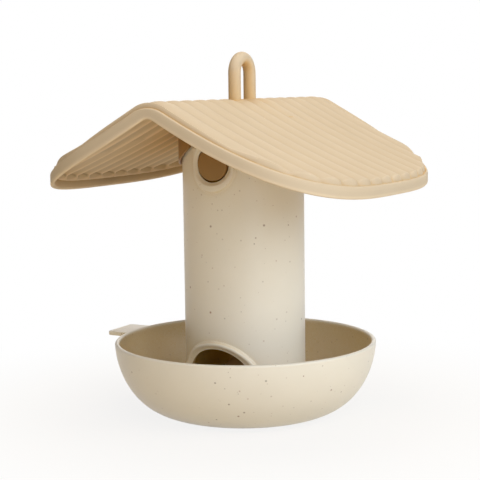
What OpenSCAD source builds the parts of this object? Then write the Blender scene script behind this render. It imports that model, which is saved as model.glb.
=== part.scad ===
// Silo bird feeder: a tube of seed that stands in a round feeding bowl under a gabled, ribbed roof.
// Millimetres, +Z up. The origin is the centre of the bowl's underside, on the tube's axis.
// The ridge runs along Y. Ports, release buttons and latch tongues face -Y (front) and +Y (rear).

/* [Bowl] */
// Outer diameter at the rim
bowl_d = 174; // [160:1:190]
// Height of the rim above the ground
bowl_h = 49.2; // [44:0.1:60]
// Diameter of the flat underside
bowl_base_d = 72.2; // [70:0.1:76]
// Wall of the bowl, square to its surface
bowl_wall = 3; // [2.5:0.1:3.5]
// Thickness of the floor between its recess and the seed
floor_t = 3; // [2.6:0.1:3.6]
// Depth of the recess inside the standing ring
recess_h = 1; // [0.8:0.1:1.6]
// Width of the standing ring under the bowl
stand_w = 5; // [4:0.5:6]
// Wall of the low ring that centres the tube's foot
socket_wall = 2; // [1.5:0.1:2.5]
// Height of the low ring above the floor
socket_h = 3; // [2:0.1:3.4]

/* [Rim tab] */
// Width of the tab
tab_w = 30; // [24:1:36]
// Distance of the tab's outer edge from the axis
tab_reach = 100.4; // [98:0.1:106]
// Thickness of the tab
tab_t = 2.8; // [2:0.1:4]
// Corner radius of the tab
tab_r = 2.5; // [1:0.1:5]
// Turn of the tab about the axis, from the -X side towards -Y, degrees
tab_turn = 2; // [0:0.5:10]

/* [Silo tube] */
// Outer diameter
tube_d = 80; // [76:0.5:84]
// Wall
tube_wall = 2.5; // [2:0.1:3]
// Height of the top edge above the ground; the roof, the loop and the buttons go up and down with it
tube_top = 182; // [150:1:240]
// Thickness of the flange inside the foot
flange_t = 2.5; // [2:0.1:3]

/* [Ports] */
// Radius of the arch of a port
port_r = 24.4; // [20:0.1:26]
// Height of the arch's centre above the ground
port_z = 24.5; // [22:0.1:28]
// Height of the sill above the floor
port_sill = 4.6; // [4.2:0.1:5.5]
// Width of the bead round a port
port_bead_w = 5.2; // [4:0.1:6]
// How far the beads stand out of the tube
bead_h = 1.8; // [1:0.1:2]

/* [Release buttons] */
// Radius of the round button on a latch tongue
button_r = 10.7; // [9:0.1:12]
// Gap round a button in its hole
button_gap = 0.8; // [0.6:0.1:1.2]
// Distance of a button's centre below the tube's top
button_drop = 14.1; // [13.9:0.1:16]
// Radius of the raised surround's lower end
surround_r = 15.4; // [14.8:0.1:16.4]
// How far the surround's centre lies below the button's
surround_drop = 3.1; // [2:0.1:3.5]
// Thickness of a tongue's leaf
tongue_t = 2; // [1.6:0.1:2.4]
// Width of a tongue's leaf
tongue_w = 16; // [12:0.5:17]

/* [Seed cone] */
// Height of the cone's point above the floor
cone_h = 38; // [30:1:44]
// Wall of the cone
cone_wall = 2; // [1.6:0.1:2.4]

/* [Roof] */
// Half width across the wings
roof_a = 109.6; // [100:0.1:120]
// Half length along the ridge
roof_b = 112.7; // [112.5:0.1:118]
// Squareness of the roof's outline: 2 is an ellipse
roof_n = 3.24; // [3:0.01:4]
// Height of the rib crests at the ridge above the tube's top
ridge_rise = 26.9; // [26:0.1:30]
// Slope of the wings at the ridge, degrees
slope = 29; // [27:0.1:29.6]
// How much the wings flatten outwards, per millimetre
flatten = 0.0009; // [0.0005:0.0001:0.0011]
// Radius of the rounded ridge
ridge_r = 21.5; // [16:0.5:24]
// Whole ribs between the gables, an even number
rib_count = 14; // [14]
// Distance from rib to rib
rib_pitch = 15.2; // [15:0.1:15.4]
// Depth of the valleys between the ribs
rib_depth = 2; // [1.4:0.1:2.2]
// Drop of the bead round the roof below the rib crests
border_drop = 3.9; // [3.4:0.1:4.2]
// Height of the lip below the bead, at the ridge
lip_h = 6.5; // [5.5:0.1:8]
// Radius of the lip's lower edge at the ridge
lip_ridge_r = 7; // [5:0.5:12]
// Thickness of the lip
lip_t = 2.5; // [2:0.1:3]
// Thickness of the roof sheet, measured upright
sheet_t = 2.4; // [2:0.1:2.8]

/* [Roof collar] */
// Inner radius of the skirt round the tube's top
skirt_ri = 41.3; // [41:0.1:42]
// Wall of the skirt
skirt_wall = 1.2; // [1:0.1:2]
// Distance of the skirt's lowest edge below the tube's top
skirt_drop = 16.2; // [15:0.1:18]
// Thickness of the plate that lies on the tube
plate_t = 2.5; // [2:0.1:3]
// Half width of the bridge under the ridge
bridge_hw = 12.5; // [12:0.1:13]
// Thickness of the bridge's webs
web_t = 2; // [1.6:0.1:2.4]
// Height of the bridge's top above the tube's top
bridge_rise = 17; // [16.5:0.1:17.3]

/* [Hanging loop] */
// Diameter of the rod
loop_d = 8.2; // [7:0.1:9]
// Distance between the legs, centre to centre
loop_span = 19.6; // [18:0.1:22]
// Height of the loop's top above the ridge
loop_rise = 30.4; // [26:0.1:41]

/* [Screws] */
// Shank diameter of every self-tapping screw
screw_d = 3; // [2.5:0.1:3.2]
// Head diameter
screw_head_d = 5.6; // [5:0.1:6]
// Head height
screw_head_h = 1.8; // [1.4:0.1:2]
// Distance of the roof screws from the ridge plane
roof_screw_x = 24; // [22:0.5:25]
// Distance of the roof screws from the axis along the ridge
roof_screw_y = 20; // [18:0.5:21]
// Distance of the tongue screws from the axis
tongue_screw_y = 27; // [26:0.5:28]
// Outer diameter of the loop's washers
washer_d = 14; // [12:0.5:15]
// Thickness of the loop's washers
washer_t = 1.5; // [1:0.1:2]

/* [Hidden] */
$fn = 96;

cream = [0.925, 0.894, 0.831];
sand = [0.871, 0.784, 0.647];
tan_brown = [0.61, 0.49, 0.31];
steel = [0.72, 0.72, 0.73];

// Clearances
slip = 0.3;
shank_gap = 0.05;
head_gap = 0.3;
big = 400;

// Heights and radii that several pieces share
floor_z = recess_h + floor_t;
tube_r = tube_d / 2;
bore_r = tube_r - tube_wall;
socket_ro = tube_r + slip + socket_wall;
flange_z = floor_z + flange_t;
sill_z = floor_z + port_sill;
boss_r = screw_d / 2 + 2;
base_head_z = recess_h + floor_t * 0.47;
base_head_r = screw_head_d / 2 + head_gap;
recess_r = bowl_base_d / 2 - stand_w;
base_screw_r = recess_r - base_head_r - 0.5;
flange_ri = base_screw_r - boss_r - 0.6;
plate_top = tube_top + plate_t;
button_z = tube_top - button_drop;
skirt_z = tube_top - skirt_drop;
ridge_z = tube_top + ridge_rise;
bridge_top = tube_top + bridge_rise;
loop_top = ridge_z + loop_rise;
slab_t = plate_t;
slab_z = bridge_top - slab_t;
surround_z = button_z - surround_drop;
surround_top = tube_top - 3;
hole_r = button_r + button_gap;
cone_point_z = floor_z + cone_h;
cone_foot_r = bore_r - slip;
leaf_y = bore_r - 1.5;
foot_t = 2.2;
skirt_ro = skirt_ri + skirt_wall;
skirt_side = surround_r + 1.8;
skirt_side_z = tube_top - 3.6;
skirt_foot_x = skirt_ri - 1.3;
skirt_knee = [skirt_side + 0.63 * (skirt_foot_x - skirt_side), skirt_z + 0.29 * (skirt_side_z - skirt_z)];
screw_bite = 6;
leg_screw_l = 12;
thread_l = 8;

// Height of a line down both wings at a distance x from the ridge: round at the ridge, flatter outwards
function wing_z(x, top, radius, angle, curve) =
    let (turn_x = radius * sin(angle), near = min(abs(x), turn_x), far = max(abs(x) - turn_x, 0))
    top - (radius - sqrt(radius * radius - near * near)) - far * tan(angle) + curve * far * far;

// Height of the rib crests
function crest_z(x) = wing_z(x, ridge_z, ridge_r, slope, flatten);

// Height of the lip's lower edge, which runs a little steeper than the crests
function lip_z(x) = wing_z(x, ridge_z - border_drop - lip_h, lip_ridge_r, slope + 0.6, flatten + 0.0001);

// Half width of a rounded outline of half sizes a and b at a place y along it
function half_width(a, b, y) = a * pow(max(0, 1 - pow(abs(y) / b, roof_n)), 1 / roof_n);

// Depth of the ribbed panel at a place y along the ridge: 0 on a crest and full depth in a sharp valley
function rib_dip(y) = rib_depth * pow(2 * abs(y / rib_pitch + 0.5 - round(y / rib_pitch + 0.5)), 2);

rib_end = rib_count / 2 * rib_pitch;
rib_steps = 4;
row_steps = rib_count / 2 * rib_steps;
edge_trim = 0.1;
rib_rows = [for (k = [-row_steps : row_steps]) k * rib_pitch / rib_steps];

// Rows of the roof along the ridge: four rows outside the last valley at each gable
function roof_rows(b) =
    let (free = b - edge_trim - rib_end, outer = [for (s = [0.4, 0.74, 0.86, 1]) rib_end + s * free])
    concat([for (k = [3 : -1 : 0]) -outer[k]], rib_rows, outer);

// Columns of the roof across the ridge, as shares of the half width
wing_cols = [0.04, 0.08, 0.12, 0.3, 0.5, 0.7, 0.86, 0.972, 0.981, 0.99, 1];
cols = concat([for (i = [len(wing_cols) - 1 : -1 : 0]) -wing_cols[i]], [0], wing_cols);
row_n = len(roof_rows(roof_b));
col_n = len(cols);

// How many columns a grid point lies inside the eaves: 0 on the edge, 3 and more on the ribbed panel
function eave_inset(j) = min(j, col_n - 1 - j);

// How many rows a grid point lies inside the gables: 0 on the edge, 2 and more on the ribbed panel
function gable_inset(i) = min(i, row_n - 1 - i);

// Whether a grid point lies on the border outside the ribbed panel
function on_border(i, j) = eave_inset(j) < 3 || gable_inset(i) < 2;

// Height of the upper face
function upper_z(x, y, i, j) =
    min(eave_inset(j), gable_inset(i)) == 0 ? crest_z(x) - border_drop - 0.6
  : on_border(i, j) ? crest_z(x) - border_drop
  : crest_z(x) - rib_dip(y);

// Height of the lower face
function lower_z(x, y, i, j) = crest_z(x) - sheet_t - (on_border(i, j) ? border_drop : rib_dip(y));

// Points of one face of the roof, row by row
function grid(a, b, up) =
    let (ys = roof_rows(b))
    [for (i = [0 : row_n - 1]) for (j = [0 : col_n - 1])
        let (x = cols[j] * half_width(a, b, ys[i]))
        [x, ys[i], up ? upper_z(x, ys[i], i, j) : lower_z(x, ys[i], i, j)]];

// Grid numbers round the outline, anticlockwise seen from above
border = concat(
    [for (j = [0 : col_n - 2]) j],
    [for (i = [0 : row_n - 2]) i * col_n + col_n - 1],
    [for (j = [col_n - 1 : -1 : 1]) (row_n - 1) * col_n + j],
    [for (i = [row_n - 1 : -1 : 1]) i * col_n]);

module roof_sheet() {
    top_pts = grid(roof_a, roof_b, true);
    low_pts = grid(roof_a - lip_t, roof_b - lip_t, false);
    face_n = row_n * col_n;
    edge_n = len(border);
    outer_lip = [for (k = border) [top_pts[k][0], top_pts[k][1], lip_z(top_pts[k][0])]];
    inner_lip = [for (k = border) [low_pts[k][0], low_pts[k][1], lip_z(low_pts[k][0])]];
    outer_at = 2 * face_n;
    inner_at = outer_at + edge_n;
    top_faces = [for (i = [0 : row_n - 2]) for (j = [0 : col_n - 2])
        let (a = i * col_n + j)
        each [[a, a + col_n, a + col_n + 1], [a, a + col_n + 1, a + 1]]];
    low_faces = [for (f = top_faces) [face_n + f[0], face_n + f[2], face_n + f[1]]];
    lip_faces = [for (k = [0 : edge_n - 1])
        let (m = (k + 1) % edge_n, p = border[k], q = border[m])
        each [[p, q, outer_at + m], [p, outer_at + m, outer_at + k],
              [outer_at + k, outer_at + m, inner_at + m], [outer_at + k, inner_at + m, inner_at + k],
              [inner_at + k, inner_at + m, face_n + q], [inner_at + k, face_n + q, face_n + p]]];
    points = concat(top_pts, low_pts, outer_lip, inner_lip);
    polyhedron(points, concat(top_faces, low_faces, lip_faces), convexity = 6);
}

// Everything that lies more than drop below the rib crests
module under_roof(drop) {
    xs = [for (x = [-60 : 4 : 60]) x];
    rotate([90, 0, 0])
        linear_extrude(height = 2 * roof_b, center = true)
            polygon(concat([for (x = xs) [x, crest_z(x) - drop]], [[60, 0], [-60, 0]]));
}

// A 2D shape drawn in X and Z, cut through the whole part along Y
module along_ridge(length) {
    rotate([90, 0, 0])
        linear_extrude(height = length, center = true)
            children();
}

module ring(r_out, r_in, z_low, z_high) {
    translate([0, 0, z_low])
        difference() {
            cylinder(r = r_out, h = z_high - z_low);
            translate([0, 0, -1])
                cylinder(r = r_in, h = z_high - z_low + 2);
        }
}

// A pan-head screw that points up: its head ends at the origin and its shank rises from there
module screw(length) {
    translate([0, 0, -screw_head_h])
        cylinder(d = screw_head_d, h = screw_head_h);
    cylinder(d = screw_d, h = length);
}

module screw_hole(length) {
    translate([0, 0, -0.5])
        cylinder(r = screw_d / 2 + shank_gap, h = length + 0.5);
}

// Bowl

// The bowl's outside from the base to the rim, a share t of the way up the curve
function bowl_point(t) = [
    bowl_base_d / 2 + (bowl_d / 2 - bowl_base_d / 2) * pow(sin(90 * t), 0.75),
    bowl_h * (1 - pow(cos(90 * t), 1.11))];

// The bowl's inside: the outside moved square to itself by the wall
function bowl_inner(t) =
    let (p = bowl_point(t - 0.01), q = bowl_point(t + 0.01), d = q - p, l = norm(d), m = bowl_point(t))
    [m[0] - d[1] / l * bowl_wall, m[1] + d[0] / l * bowl_wall];

bowl_steps = 20;

module bowl_section() {
    rim_r = bowl_wall / 2;
    outside = [for (k = [0 : bowl_steps - 1]) bowl_point(k / bowl_steps)];
    inside = [for (k = [bowl_steps - 1 : -1 : 1])
        let (p = bowl_inner(k / bowl_steps))
        if (p[1] > floor_z + 0.2 && p[1] < bowl_h - rim_r) p];
    difference() {
        union() {
            polygon(concat(outside, [[bowl_d / 2, bowl_h - rim_r], [bowl_d / 2 - bowl_wall, bowl_h - rim_r]],
                inside, [[socket_ro, floor_z], [0, floor_z], [0, 0]]));
            translate([bowl_d / 2 - rim_r, bowl_h - rim_r])
                circle(r = rim_r);
        }
        translate([-1, -1])
            square([recess_r + 1, recess_h + 1]);
    }
}

module rim_tab() {
    root_x = bowl_d / 2 - bowl_wall / 2;
    rotate([0, 0, 180 + tab_turn])
        translate([0, 0, bowl_h - 0.1 - tab_t])
            difference() {
                union() {
                    translate([root_x - 4, -tab_w / 2, 0])
                        cube([tab_reach - tab_r - root_x + 4, tab_w, tab_t]);
                    translate([root_x, -tab_w / 2 + tab_r, 0])
                        cube([tab_reach - root_x, tab_w - 2 * tab_r, tab_t]);
                    for (s = [-1, 1])
                        translate([tab_reach - tab_r, s * (tab_w / 2 - tab_r), 0])
                            cylinder(r = tab_r, h = tab_t);
                }
                translate([0, 0, -1])
                    cylinder(r = root_x, h = tab_t + 2);
            }
}

module base_screw_places() {
    for (k = [0 : 2])
        rotate([0, 0, 120 * k])
            translate([base_screw_r, 0, 0])
                children();
    children();
}

module feeding_bowl() {
    color(cream) {
        difference() {
            union() {
                rotate_extrude()
                    bowl_section();
                ring(socket_ro, tube_r + slip, floor_z - 0.5, floor_z + socket_h);
            }
            base_screw_places() {
                translate([0, 0, -1])
                    cylinder(r = base_head_r, h = base_head_z + 1);
                cylinder(d = screw_d + 0.4, h = floor_z + 1);
            }
        }
        rim_tab();
    }
}

// Silo tube

// Outline of a port in X and Z, grown by a margin
module port_outline(margin) {
    translate([0, port_z])
        circle(r = port_r + margin);
    translate([-port_r - margin, sill_z - margin])
        square([2 * (port_r + margin), port_z - sill_z + margin]);
}

// Outline of the raised surround of a button, grown by a margin
module surround_outline(margin) {
    translate([0, surround_z])
        circle(r = surround_r + margin);
    translate([-surround_r - margin, surround_z])
        square([2 * (surround_r + margin), surround_top - surround_z]);
}

module bead_band(height, margin) {
    intersection() {
        ring(tube_r + height, tube_r - 1, floor_z + socket_h + slip, surround_top);
        along_ridge(big)
            union() {
                port_outline(port_bead_w - margin);
                surround_outline(-margin);
            }
    }
}

module silo_tube() {
    color(cream)
        difference() {
            union() {
                ring(tube_r, bore_r, floor_z, tube_top);
                ring(bore_r + 0.5, flange_ri, floor_z, flange_z);
                bead_band(bead_h * 0.55, 0);
                bead_band(bead_h, 1.2);
                for (k = [0 : 2])
                    rotate([0, 0, 120 * k])
                        translate([base_screw_r, 0, flange_z - 0.5])
                            cylinder(r = boss_r, h = screw_bite - flange_t);
            }
            along_ridge(big)
                port_outline(0);
            along_ridge(big)
                translate([0, button_z])
                    circle(r = hole_r);
            for (k = [0 : 2])
                rotate([0, 0, 120 * k])
                    translate([base_screw_r, 0, floor_z])
                        screw_hole(screw_bite);
        }
}

// Seed cone

module seed_cone() {
    foot_z = sill_z - 0.6;
    cone_slope = (cone_point_z - foot_z) / (cone_foot_r - boss_r);
    upright = cone_wall * sqrt(1 + cone_slope * cone_slope);
    color(sand)
        difference() {
            union() {
                rotate_extrude()
                    polygon([[boss_r - 0.5, cone_point_z], [boss_r, cone_point_z], [cone_foot_r, foot_z],
                        [cone_foot_r, flange_z], [cone_foot_r - cone_wall, flange_z],
                        [cone_foot_r - cone_wall, foot_z - upright + cone_wall * cone_slope],
                        [boss_r - 0.5, cone_point_z - upright]]);
                translate([0, 0, floor_z])
                    cylinder(r = boss_r, h = cone_point_z - floor_z);
            }
            translate([0, 0, floor_z])
                screw_hole(thread_l);
        }
}

module base_screws() {
    color(steel) {
        for (k = [0 : 2])
            rotate([0, 0, 120 * k])
                translate([base_screw_r, 0, base_head_z])
                    screw(floor_z - base_head_z + screw_bite - 1);
        translate([0, 0, base_head_z])
            screw(floor_z - base_head_z + thread_l - 1);
    }
}

// Roof

module roof_screw_places() {
    for (x = [-roof_screw_x, roof_screw_x])
        for (y = [-roof_screw_y, roof_screw_y])
            translate([x, y, 0])
                children();
}

module loop_places() {
    for (s = [-1, 1])
        translate([0, s * loop_span / 2, 0])
            children();
}

module roof_shell() {
    color(sand)
        difference() {
            union() {
                roof_sheet();
                intersection() {
                    roof_screw_places()
                        translate([0, 0, plate_top])
                            cylinder(r = boss_r, h = ridge_z - plate_top);
                    under_roof(sheet_t - 0.4);
                }
            }
            loop_places()
                translate([0, 0, slab_z])
                    cylinder(d = loop_d + 0.4, h = big);
            roof_screw_places()
                translate([0, 0, plate_top])
                    screw_hole(thread_l);
        }
}

// The skirt's opening over a button's surround: its edge falls to a knee and on to the skirt's lowest edge
module skirt_opening() {
    low = skirt_z - 1;
    right = [[skirt_foot_x, low], [skirt_foot_x, skirt_z], skirt_knee, [skirt_side, skirt_side_z],
        [skirt_side, tube_top]];
    left = [for (k = [len(right) - 1 : -1 : 0]) [-right[k][0], right[k][1]]];
    polygon(concat(right, left));
}

module roof_collar() {
    web_l = sqrt(skirt_ri * skirt_ri - bridge_hw * bridge_hw) + skirt_wall / 2;
    window_y = leaf_y - tongue_t - 6;
    color(sand)
        difference() {
            union() {
                difference() {
                    intersection() {
                        ring(skirt_ro, skirt_ri, skirt_z, ridge_z);
                        under_roof(sheet_t + rib_depth + 0.2);
                    }
                    along_ridge(big)
                        skirt_opening();
                }
                translate([0, 0, tube_top])
                    cylinder(r = skirt_ri + skirt_wall / 2, h = plate_t);
                for (s = [-1, 1])
                    translate([s > 0 ? bridge_hw - web_t : -bridge_hw, -web_l, plate_top - 0.5])
                        cube([web_t, 2 * web_l, bridge_top - plate_top + 0.5]);
                translate([-bridge_hw, -web_l, slab_z])
                    cube([2 * bridge_hw, 2 * web_l, slab_t]);
                for (s = [-1, 1])
                    translate([0, s * tongue_screw_y, slab_z])
                        cylinder(r = boss_r, h = screw_bite);
            }
            for (s = [-1, 1])
                translate([-tongue_w / 2 - 0.8, s > 0 ? window_y : -leaf_y - 0.8, tube_top - 1])
                    cube([tongue_w + 1.6, leaf_y + 0.8 - window_y, plate_t + 2]);
            loop_places()
                translate([0, 0, slab_z - 1])
                    cylinder(d = loop_d + 0.2, h = slab_t + 2);
            roof_screw_places()
                translate([0, 0, tube_top - 1])
                    cylinder(d = screw_d + 0.4, h = plate_t + 2);
            for (s = [-1, 1])
                translate([0, s * tongue_screw_y, slab_z])
                    screw_hole(screw_bite - 1);
        }
}

module roof_screws() {
    color(steel)
        roof_screw_places()
            translate([0, 0, tube_top])
                screw(plate_t + thread_l - 1);
}

// Latch

// The front tongue: a foot under the bridge, a leaf down the tube's bore and the button in the tube's hole
module latch_tongue() {
    leaf_low = button_z - button_r;
    foot_y = tongue_screw_y - screw_head_d / 2 - 1;
    color(tan_brown)
        difference() {
            union() {
                translate([-tongue_w / 2, -leaf_y, leaf_low + 3])
                    cube([tongue_w, tongue_t, slab_z - leaf_low - 3]);
                translate([-tongue_w / 2, -leaf_y, slab_z - foot_t])
                    cube([tongue_w, leaf_y - foot_y, foot_t]);
                intersection() {
                    translate([0, -leaf_y + tongue_t, button_z])
                        rotate([90, 0, 0])
                            cylinder(r = button_r, h = tube_r - leaf_y + tongue_t);
                    translate([-button_r, -tube_r - 1, 0])
                        cube([2 * button_r, tube_r + 1, big]);
                }
            }
            translate([0, -tongue_screw_y, slab_z - foot_t - 1])
                cylinder(d = screw_d + 0.4, h = foot_t + 2);
        }
}

module tongue_screws() {
    color(steel)
        for (s = [-1, 1])
            translate([0, s * tongue_screw_y, slab_z - foot_t])
                screw(foot_t + screw_bite - 2);
}

// Hanging loop

module hanging_loop() {
    bend_z = loop_top - loop_d / 2 - loop_span / 2;
    color(sand)
        difference() {
            union() {
                loop_places()
                    translate([0, 0, slab_z])
                        cylinder(d = loop_d, h = bend_z - slab_z);
                translate([0, 0, bend_z])
                    rotate([90, 0, 90])
                        rotate_extrude(angle = 180)
                            translate([loop_span / 2, 0])
                                circle(d = loop_d);
            }
            loop_places()
                translate([0, 0, slab_z])
                    screw_hole(leg_screw_l);
        }
}

module loop_screws() {
    color(steel)
        loop_places()
            translate([0, 0, slab_z - washer_t])
                screw(washer_t + leg_screw_l - 1);
}

module loop_washers() {
    color(steel)
        loop_places()
            difference() {
                translate([0, 0, slab_z - washer_t])
                    cylinder(d = washer_d, h = washer_t);
                translate([0, 0, slab_z - washer_t - 1])
                    cylinder(d = screw_d + 0.2, h = washer_t + 2);
            }
}

feeding_bowl();
silo_tube();
seed_cone();
base_screws();
roof_shell();
roof_collar();
roof_screws();
latch_tongue();  // latch_tongue_front
rotate([0, 0, 180]) latch_tongue();  // latch_tongue_rear
tongue_screws();
hanging_loop();
loop_screws();
loop_washers();
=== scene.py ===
"""Looks of a silo bird feeder: a tube of seed in a round bowl, under a gabled and ribbed roof.

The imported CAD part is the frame. Each class is one sub-assembly of the feeder: it holds its sizes in
millimetres in the part's own frame, shapes its meshes with bmesh operators and gives them a finish.
Settling a mesh turns its millimetres into Blender's metres.
"""

from __future__ import annotations

import logging  # noqa: E402
import math  # noqa: E402
from dataclasses import dataclass, field  # noqa: E402
from enum import Enum  # noqa: E402
from typing import Any, Callable, Sequence  # noqa: E402

import bmesh  # noqa: E402
import bpy  # noqa: E402
from mathutils import Matrix, Vector  # noqa: E402


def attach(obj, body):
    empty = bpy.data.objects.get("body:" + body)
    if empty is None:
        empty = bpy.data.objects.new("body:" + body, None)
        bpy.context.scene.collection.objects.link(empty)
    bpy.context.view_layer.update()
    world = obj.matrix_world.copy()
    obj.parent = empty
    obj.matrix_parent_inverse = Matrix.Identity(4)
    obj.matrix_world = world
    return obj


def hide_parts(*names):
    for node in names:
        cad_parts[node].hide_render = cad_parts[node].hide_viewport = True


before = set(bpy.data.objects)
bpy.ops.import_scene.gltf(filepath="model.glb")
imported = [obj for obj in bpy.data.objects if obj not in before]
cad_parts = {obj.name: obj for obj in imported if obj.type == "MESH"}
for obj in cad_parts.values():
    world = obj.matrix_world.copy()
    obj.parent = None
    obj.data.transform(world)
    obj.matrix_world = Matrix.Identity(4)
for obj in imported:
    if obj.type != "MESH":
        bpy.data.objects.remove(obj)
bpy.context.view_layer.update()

MM = 0.001
LOG = logging.getLogger("feeder")

Point = tuple[float, float]
Place = tuple[float, float, float]
Mesh = bmesh.types.BMesh
Edge = bmesh.types.BMEdge
Vert = bmesh.types.BMVert
Tree = bpy.types.NodeTree
Socket = bpy.types.NodeSocket


class Body(Enum):
    """The CAD bodies that the pieces ride on."""

    SILO = "silo"
    ROOF = "roof"
    FRONT_LATCH = "front_latch"
    REAR_LATCH = "rear_latch"


class Slot(Enum):
    """The record's material slots."""

    CREAM = "cream_plastic"
    SAND = "sand_plastic"
    TAN = "tan_plastic"
    STEEL = "screw_steel"


# Numbers and colours


def smooth(share: float) -> float:
    """Returns a share held to 0..1 and eased at both ends."""
    held = min(1.0, max(0.0, share))
    return held * held * (3.0 - 2.0 * held)


def linear(code: str) -> tuple[float, float, float, float]:
    """Turns an sRGB hex colour into linear light.

    Args:
        code: Six hex digits after a hash.

    Returns:
        Red, green, blue and an alpha of 1.
    """
    parts = [int(code[at : at + 2], 16) / 255.0 for at in (1, 3, 5)]
    light = [part / 12.92 if part <= 0.04045 else ((part + 0.055) / 1.055) ** 2.4 for part in parts]
    return (light[0], light[1], light[2], 1.0)


# Node helpers

WHITE = linear("#ffffff")
FULL = (0.0, 1.0)
FLAT_POINTINESS = 0.5


def cleared(owner: bpy.types.Material | bpy.types.World) -> Tree:
    """Returns a material's or world's node tree, emptied."""
    owner.use_nodes = True
    owner.node_tree.nodes.clear()
    return owner.node_tree


def add_node(tree: Tree, kind: str, inputs: dict[Any, Any] | None = None, **settings: Any) -> bpy.types.Node:
    """Adds a node with its settings, values and links.

    Args:
        tree: The material's or world's node tree.
        kind: Blender's name for the node type.
        inputs: Values or output sockets, by the input's name or number.
        settings: The node's own properties.

    Returns:
        The new node.
    """
    made = tree.nodes.new(kind)
    for name, value in settings.items():
        setattr(made, name, value)
    for name, value in (inputs or {}).items():
        if isinstance(value, Socket):
            tree.links.new(value, made.inputs[name])
        else:
            made.inputs[name].default_value = value
    return made


def ranged(tree: Tree, value: Socket, source: Point, target: Point, **settings: Any) -> Socket:
    """Maps a value from a source range to a target range."""
    limits = {"From Min": source[0], "From Max": source[1], "To Min": target[0], "To Max": target[1]}
    return add_node(tree, "ShaderNodeMapRange", {"Value": value, **limits}, **settings).outputs[0]


def mixed(tree: Tree, share: Socket, first: Any, second: Any) -> Socket:
    """Mixes two colours, each a socket or linear light, by the second one's share."""
    inputs = {"Factor": share, 6: first, 7: second}
    return add_node(tree, "ShaderNodeMix", inputs, data_type="RGBA").outputs[2]


def reckoned(tree: Tree, operation: str, *values: Any) -> Socket:
    """Works out one operation on numbers and sockets."""
    return add_node(tree, "ShaderNodeMath", dict(enumerate(values)), operation=operation).outputs[0]


def noise(tree: Tree, place: Socket, patch_mm: float, detail: float) -> Socket:
    """Returns noise in patches of about the given size."""
    inputs = {"Vector": place, "Scale": 1.0 / (patch_mm * MM), "Detail": detail}
    return add_node(tree, "ShaderNodeTexNoise", inputs).outputs[0]


# Finishes


@dataclass(frozen=True)
class Finish:
    """A surface finish: two colours that drift into each other in soft patches, and a gloss that drifts too.

    Attributes:
        name: The material's name, which is that of the real material.
        slot: The record's material slot it stands for; not used.
        colour: The first hex colour.
        second_colour: The second one.
        roughness: The roughness in the middle.
        drift: How far the roughness drifts down and up from there.
        patch_mm: The patches' size.
        detail: The patches' finer octaves.
    """

    name: str
    slot: Slot
    colour: str
    second_colour: str
    roughness: float
    drift: Point
    patch_mm: float
    detail: float

    def marks_and_painted_shade(self, _tree: Tree, _place: Socket, skin: Socket) -> Socket:
        """Returns the skin's colour with the finish's own marks and painted shade on it: none, unless a
        finish adds some.
        """
        return skin

    def surface(self, tree: Tree, place: Socket) -> dict[str, Any]:
        """Returns what the finish sets on its shader beside colour and roughness."""
        raise NotImplementedError

    def material(self) -> bpy.types.Material:
        """Returns the finish's material, made once."""
        known = bpy.data.materials.get(self.name)
        if known:
            return known
        made = bpy.data.materials.new(self.name)
        tree = cleared(made)
        place = add_node(tree, "ShaderNodeTexCoord").outputs["Object"]
        patches = noise(tree, place, self.patch_mm, self.detail)
        skin = mixed(tree, patches, linear(self.colour), linear(self.second_colour))
        limits = (self.roughness + self.drift[0], self.roughness + self.drift[1])
        inputs = {
            "Base Color": self.marks_and_painted_shade(tree, place, skin),
            "Roughness": ranged(tree, patches, FULL, limits),
            **self.surface(tree, place),
        }
        shader = add_node(tree, "ShaderNodeBsdfPrincipled", inputs)
        add_node(tree, "ShaderNodeOutputMaterial", {"Surface": shader.outputs["BSDF"]})
        return made


@dataclass(frozen=True)
class MouldedPlastic(Finish):
    """Injection-moulded plastic: a fine grain from a spark-eroded mould, and painted warm shade in its
    hollows.

    Ambient occlusion paints that shade into the colour. It makes hollows and places between pieces darker and
    warmer, as light that has gone through or off more plastic would.

    Attributes:
        specular: The skin's reflection, on the shader's own scale.
        grain_mm: The grain's size.
        grain_depth_mm: Its depth.
        hollow_shade: The hex colour of the painted warm shade that a closed-in place multiplies the skin by.
        hollow_reach_mm: How far away a surface still counts as closing a place in.
        alone: Whether only the piece's own hollows count, and not those between pieces.
        hollow_range: How open a closed-in place and open ground count as.
        hollow_samples: Rays that feel for nearby surfaces.
        grain_detail: The grain's finer octaves.
    """

    specular: float
    grain_mm: float
    grain_depth_mm: float
    hollow_shade: str
    hollow_reach_mm: float
    alone: bool
    hollow_range: Point = (0.6, 0.95)
    hollow_samples: int = 8
    grain_detail: float = 2.0

    def marks_and_painted_shade(self, tree: Tree, place: Socket, skin: Socket) -> Socket:
        """Returns the colour with painted warm shade in its hollows."""
        # Painted shade: ambient occlusion multiplies a darker, warmer colour into hollows and between pieces
        occlusion = add_node(
            tree,
            "ShaderNodeAmbientOcclusion",
            {"Distance": self.hollow_reach_mm * MM},
            samples=self.hollow_samples,
            only_local=self.alone,
        )
        open_share = ranged(tree, occlusion.outputs["AO"], self.hollow_range, FULL)
        painted_shade_tint = mixed(tree, open_share, linear(self.hollow_shade), WHITE)
        return add_node(tree, "ShaderNodeVectorMath", {0: skin, 1: painted_shade_tint}, operation="MULTIPLY").outputs[0]

    def surface(self, tree: Tree, place: Socket) -> dict[str, Any]:
        """Returns the grain as a bump, and the reflection."""
        grain = noise(tree, place, self.grain_mm, self.grain_detail)
        relief = {"Height": grain, "Distance": self.grain_depth_mm * MM, "Strength": 1.0}
        bump = add_node(tree, "ShaderNodeBump", relief)
        return {"Normal": bump.outputs[0], "Specular IOR Level": self.specular}


@dataclass(frozen=True)
class Flecks:
    """One size of flecks: their cell and radius in millimetres, their share of cells and their strength."""

    cell: float
    radius: float
    share: float
    strength: float


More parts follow.
